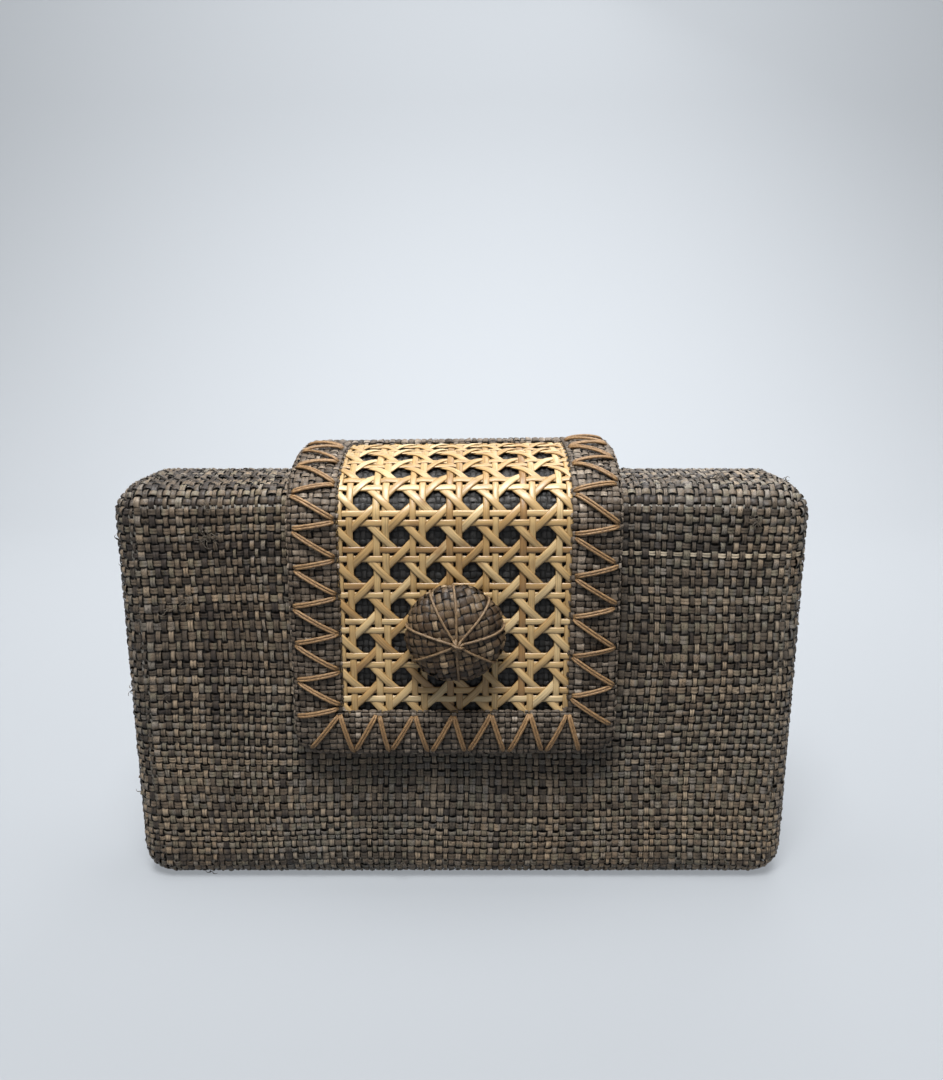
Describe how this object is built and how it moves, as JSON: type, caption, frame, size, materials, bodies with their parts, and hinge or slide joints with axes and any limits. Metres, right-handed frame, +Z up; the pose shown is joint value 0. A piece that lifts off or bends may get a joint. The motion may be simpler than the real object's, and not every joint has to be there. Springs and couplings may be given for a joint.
{
  "type": "raffia clutch",
  "caption": "Stiff box clutch covered in woven raffia, with a hinged cane-fronted band over the top that is bound in raffia, edged with zigzag thread and closed by a covered knob.",
  "frame": {"origin": "middle of the box's bottom face, on the surface that it stands on", "axes": "+X along the box to the right as seen from the front, +Y to the back, +Z up"},
  "size_m": [0.25, 0.0807, 0.1687],
  "materials": {
    "raffia_cloth": "matt woven raffia",
    "band_raffia": "matt woven raffia",
    "knob_raffia": "matt woven raffia",
    "cane": "satin cane strand",
    "thread": "twisted thread",
    "board": "grey board",
    "lining": "plain cotton lining",
    "snap_metal": "satin"
  },
  "bodies": {
    "box": {"front_cover": "raffia_cloth", "back_cover": "raffia_cloth", "front_board": "board", "back_board": "board", "front_lining": "lining", "back_lining": "lining", "hinge_strip": "lining", "flap_tail": "band_raffia", "tail_stitches": "thread", "front_snap": "snap_metal"},
    "flap": {"flap_binding": "band_raffia", "flap_base": "raffia_cloth", "flap_core": "board", "flap_lining": "lining", "cane_panel": "cane", "border_stitches": "thread", "knob_core": "board", "knob_cover": "knob_raffia", "knob_threads": "thread", "knob_knot": "thread", "knob_ties": "thread", "flap_snap": "snap_metal"}
  },
  "joints": [
    {"name": "flap_lift", "type": "hinge", "parent": "box", "child": "flap", "pos_m": [-0.0024, 0.03095, 0.15], "axis": [-1, 0, 0], "range_deg": [0, 130]}
  ]
}
